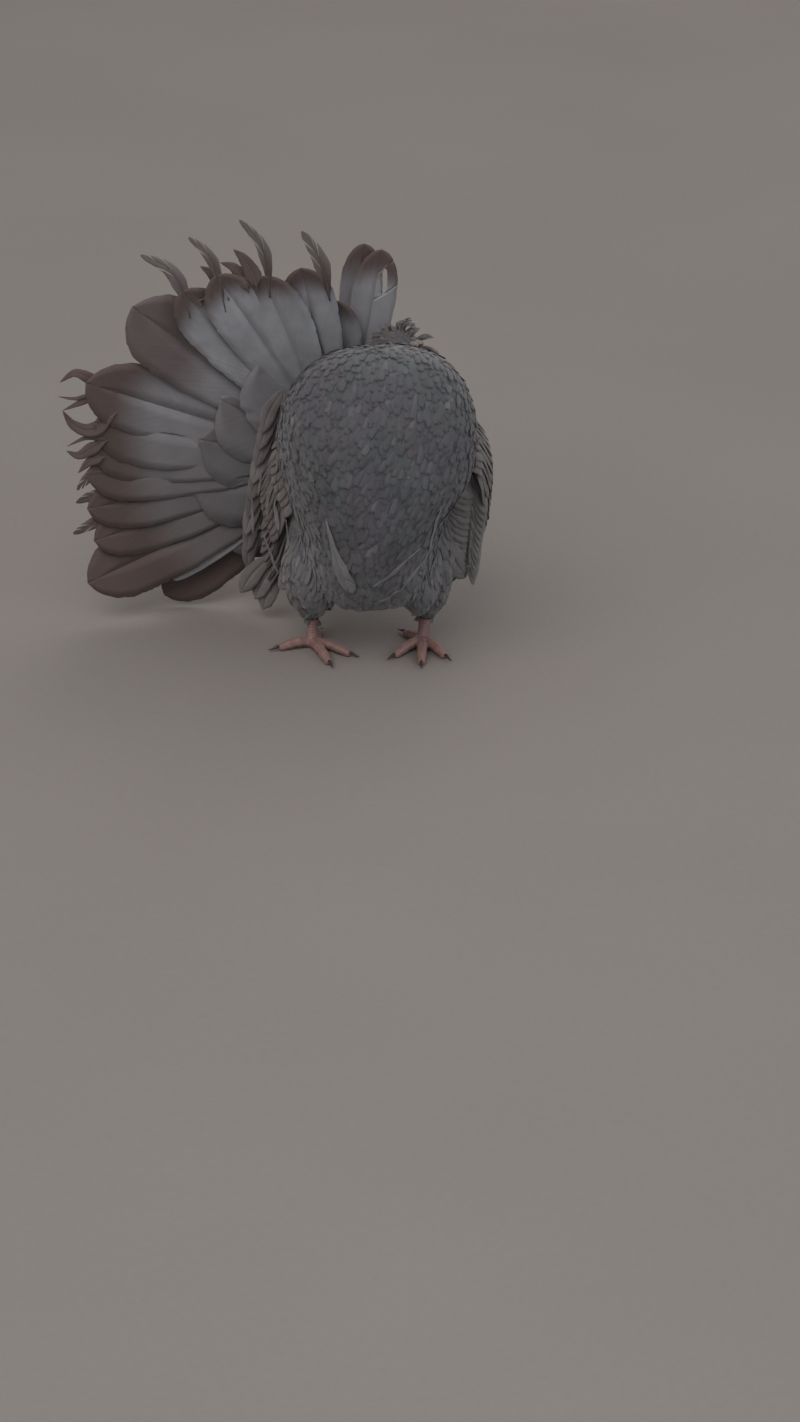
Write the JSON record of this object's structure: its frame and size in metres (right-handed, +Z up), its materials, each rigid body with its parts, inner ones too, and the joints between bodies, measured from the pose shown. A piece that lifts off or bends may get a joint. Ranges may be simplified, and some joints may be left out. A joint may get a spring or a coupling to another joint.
{
  "type": "fantail pigeon",
  "caption": "Still life-size fantail pigeon: round breast, head thrown back behind it, tail fan swung to its right, standing on both feet.",
  "frame": {"origin": "centre of the underside of the whole bird's box, on the floor it stands on", "axes": "+Z up, the bird's breast faces -Y (8 degrees towards +X), its left side is at +X and its fan is swung towards -X"},
  "size_m": [0.2457, 0.1463, 0.2552],
  "materials": {
    "plumage": "dark slate-grey contour feathers, soft, a faint green and purple sheen",
    "tail_plumage": "slate-grey vanes going to dark brown-grey at the frayed tips",
    "wing_plumage": "dark brown-grey flight feathers and coverts with paler edges and shafts",
    "bill": "dark horn",
    "cere": "powdery pale skin",
    "eye": "wet orange-brown iris round a black pupil",
    "foot_skin": "scaly pink-red skin",
    "claw": "dark horn"
  },
  "bodies": {
    "root": {"torso": "plumage", "neck": "plumage", "head": "plumage", "bill_upper": "bill", "bill_lower": "bill", "cere": "cere", "eye_left": "eye", "eye_right": "eye", "wing_left": "wing_plumage", "wing_right": "wing_plumage", "tail": "tail_plumage", "thigh_left": "plumage", "thigh_right": "plumage", "foot_left": "foot_skin", "foot_right": "foot_skin", "claw_left_inner": "claw", "claw_left_middle": "claw", "claw_left_outer": "claw", "claw_left_hind": "claw", "claw_right_inner": "claw", "claw_right_middle": "claw", "claw_right_outer": "claw", "claw_right_hind": "claw"}
  },
  "joints": []
}
